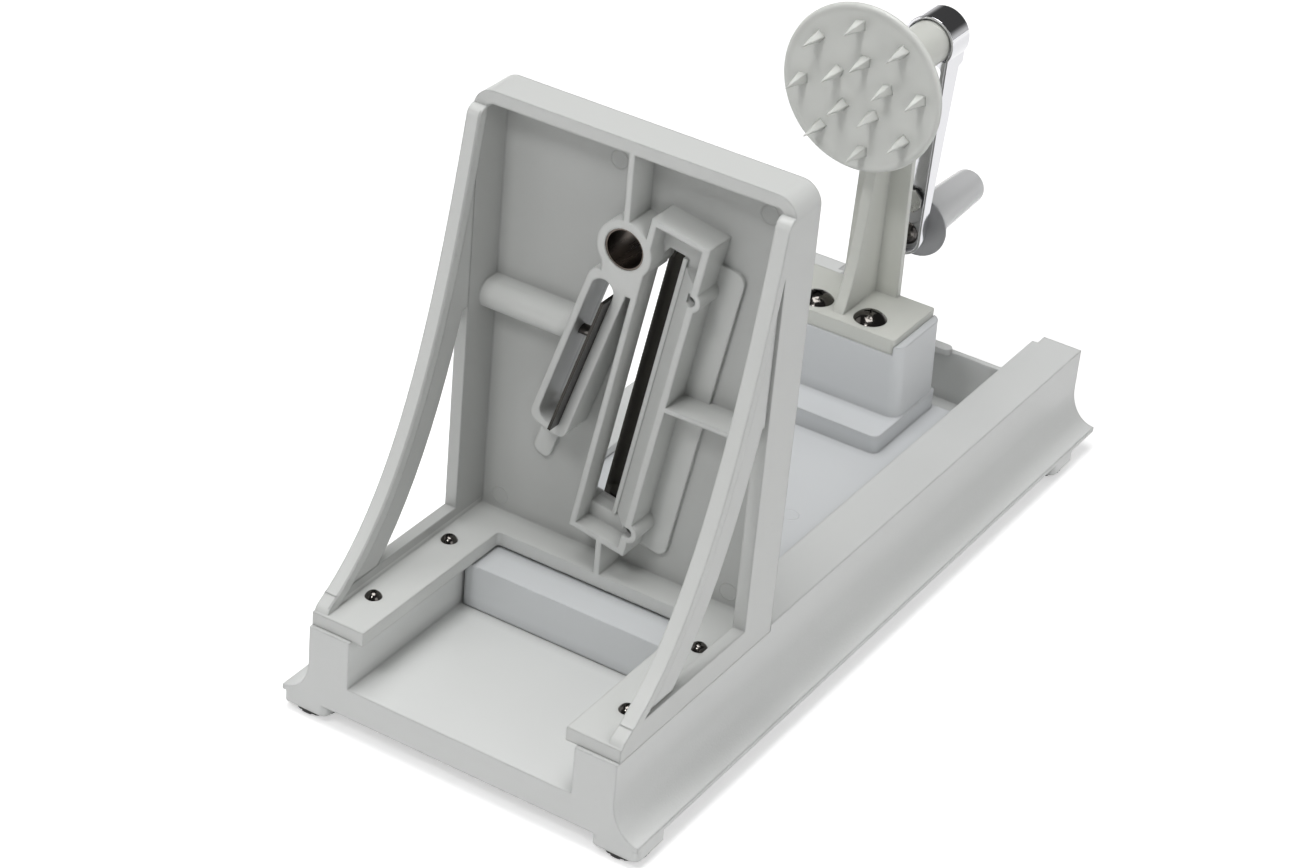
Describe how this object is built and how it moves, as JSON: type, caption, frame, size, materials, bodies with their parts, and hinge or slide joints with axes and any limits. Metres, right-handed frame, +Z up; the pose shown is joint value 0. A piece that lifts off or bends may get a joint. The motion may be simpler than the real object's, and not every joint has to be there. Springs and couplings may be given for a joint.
{
  "type": "spiral slicer",
  "caption": "Crank-driven spiral vegetable slicer: a sliding tray with a spiked disc feeds an upright stand with a blade, a comb slot and a coring tube.",
  "frame": {"origin": "on the table under the middle of the whole object at rest", "axes": "+X across the base, to the right as seen from the open front; +Y along the slide from the open front to the crank; +Z up"},
  "size_m": [0.15, 0.3574, 0.2184],
  "materials": {
    "base_plastic": "light warm grey moulding, soft sheen",
    "stand_plastic": "light warm grey moulding, soft sheen",
    "tray_plastic": "cool white-grey moulding, soft sheen",
    "crank_stand_plastic": "slightly yellow-green grey moulding, soft sheen",
    "disc_plastic": "milky light grey moulding",
    "grip_plastic": "off-white moulding",
    "guard_plastic": "mid grey moulding",
    "bush_plastic": "natural nylon",
    "blade_steel": "hardened dark steel, ground edge",
    "tube_steel": "drawn steel",
    "shaft_steel": "turned steel",
    "screw_steel": "black nickel plate",
    "arm_chrome": "polished chrome plate",
    "nut_steel": "bright zinc plate",
    "insert_brass": "turned brass",
    "foot_rubber": "black moulded rubber"
  },
  "bodies": {
    "frame": {"base": "base_plastic", "rubber_feet": "foot_rubber", "blade_stand": "stand_plastic", "stand_screws": "screw_steel", "coring_tube": "tube_steel", "main_blade": "blade_steel", "blade_screws": "screw_steel", "clamp_insert": "insert_brass"},
    "comb": {"comb_blade": "blade_steel"},
    "clamp": {"clamp_screw": "screw_steel", "clamp_knob": "stand_plastic"},
    "carriage": {"tray": "tray_plastic", "crank_stand": "crank_stand_plastic", "crank_stand_screws": "screw_steel", "crank_stand_nuts": "nut_steel", "shaft_bushes": "bush_plastic"},
    "crank": {"crank_shaft": "shaft_steel", "spiked_disc": "disc_plastic", "disc_pin": "shaft_steel", "thrust_washer": "nut_steel", "crank_arm": "arm_chrome", "crank_screw": "screw_steel", "handle_pin": "shaft_steel", "handle_clip": "arm_chrome", "handle_screw": "screw_steel"},
    "handle": {"grip": "grip_plastic", "grip_guard": "guard_plastic"}
  },
  "joints": [
    {"name": "tray_slide", "type": "slide", "parent": "frame", "child": "carriage", "axis": [0, -1, 0], "range_m": [-0.0315, 0.128]},
    {"name": "crank_turn", "type": "hinge", "parent": "carriage", "child": "crank", "pos_m": [0, 0.10325, 0.1774], "axis": [0, 1, 0], "continuous": true},
    {"name": "grip_turn", "type": "hinge", "parent": "crank", "child": "handle", "pos_m": [0, 0.15125, 0.0928], "axis": [0, 1, 0], "continuous": true},
    {"name": "comb_slide", "type": "slide", "parent": "frame", "child": "comb", "axis": [0, -1, 0], "range_m": [0, 0.012]},
    {"name": "clamp_turn", "type": "hinge", "parent": "frame", "child": "clamp", "pos_m": [-0.04, -0.08685, 0.1361], "axis": [-1, 0, 0], "range_deg": [0, 720]}
  ]
}
